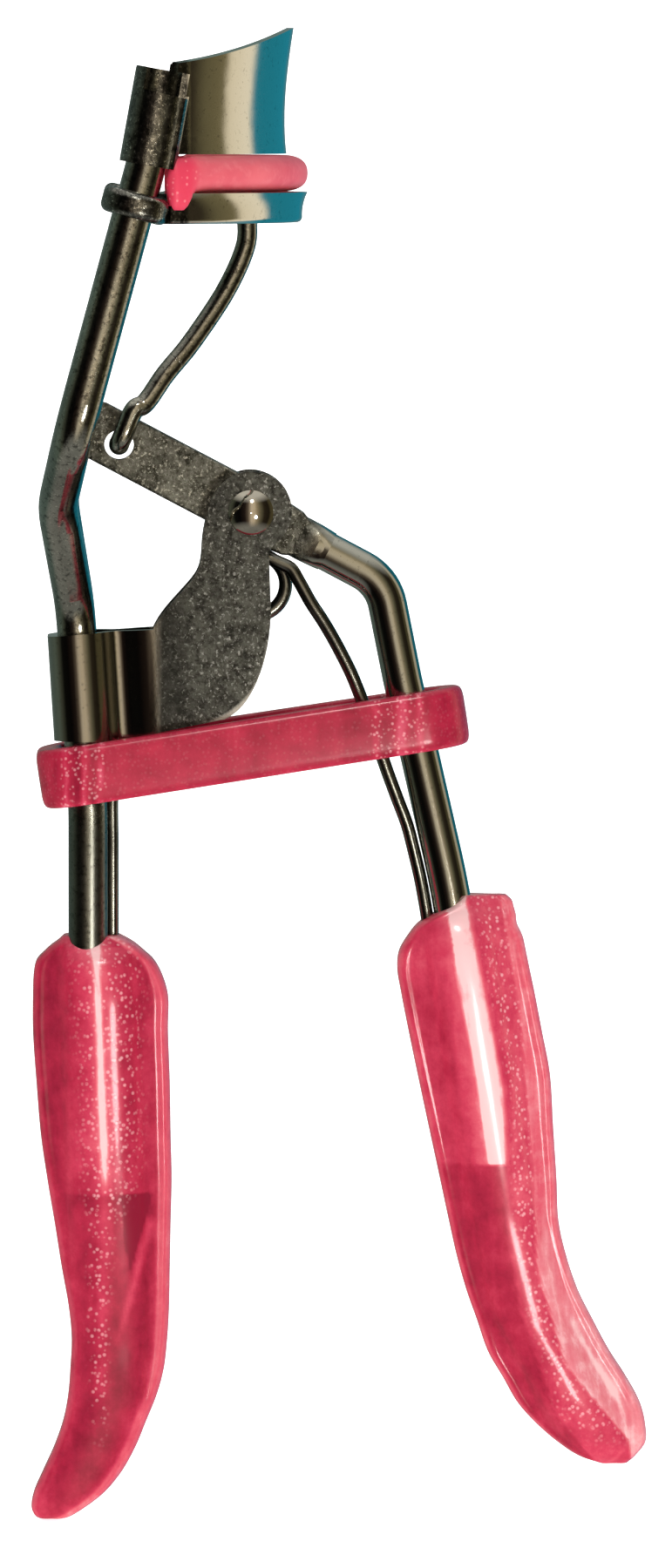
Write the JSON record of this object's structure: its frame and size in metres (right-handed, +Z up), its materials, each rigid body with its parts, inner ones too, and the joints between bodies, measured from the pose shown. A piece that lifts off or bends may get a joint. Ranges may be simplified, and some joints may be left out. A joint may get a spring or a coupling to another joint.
{
  "type": "eyelash curler",
  "caption": "Eyelash curler: curved metal jaws with a soft pad, two guide rods, a pivoted lever with a wire link, a return spring, a silicone band round the handles and two moulded grips.",
  "frame": {"origin": "centre of the tool's footprint, level with the lowest tip of the frame handle's grip", "axes": "+Z up along the tool, from the grips to the jaws; +X from the guide rods towards the lever handle, the side the jaws bulge to; Y across the jaws, with the XZ plane as the plane of symmetry of the jaws and grips"},
  "size_m": [0.0442, 0.0348, 0.1067],
  "materials": {
    "nickel": "polished dark nickel plate",
    "jaw_nickel": "mirror-polished nickel plate",
    "lever_nickel": "plated over a rough-blasted flat bar",
    "rivet_nickel": "polished domed head",
    "steel": "plain plated steel",
    "bracket_nickel": "plated over grained pressed sheet",
    "spring_steel": "plated spring wire",
    "pad_silicone": "soft satin silicone",
    "band_silicone": "translucent glossy silicone",
    "grip_plastic": "translucent glossy moulded plastic with small bubbles inside"
  },
  "bodies": {
    "frame": {"frame_rod_near": "nickel", "frame_rod_far": "nickel", "upper_jaw_plate": "jaw_nickel", "pivot_rivet": "rivet_nickel", "pivot_washer_near": "steel", "pivot_washer_far": "steel", "pivot_bracket": "bracket_nickel", "return_spring": "spring_steel", "closure_band": "band_silicone", "frame_grip": "grip_plastic"},
    "lever": {"lever_arm": "lever_nickel", "lever_grip": "grip_plastic"},
    "lower_jaw": {"lower_jaw_channel": "jaw_nickel", "lash_pad": "pad_silicone"},
    "link": {"link_wire": "nickel"}
  },
  "joints": [
    {"name": "lever_hinge", "type": "hinge", "parent": "frame", "child": "lever", "pos_m": [-0.00637, 0, 0.07231], "axis": [0, -1, 0], "range_deg": [0, 30], "deforming": ["return_spring", "closure_band"]},
    {"name": "jaw_slide", "type": "slide", "parent": "frame", "child": "lower_jaw", "axis": [-0.2609, 0, -0.9654], "range_m": [0, 0.00546]},
    {"name": "link_swing", "type": "hinge", "parent": "lower_jaw", "child": "link", "pos_m": [-0.00665, 0, 0.09316], "axis": [0, -1, 0], "range_deg": [-1, 1]}
  ],
  "couplings": [
    {"joint": "lever_hinge", "follows": "jaw_slide", "rad_per_m": 95.881},
    {"joint": "link_swing", "follows": "jaw_slide", "rad_per_m": 0.95881}
  ]
}
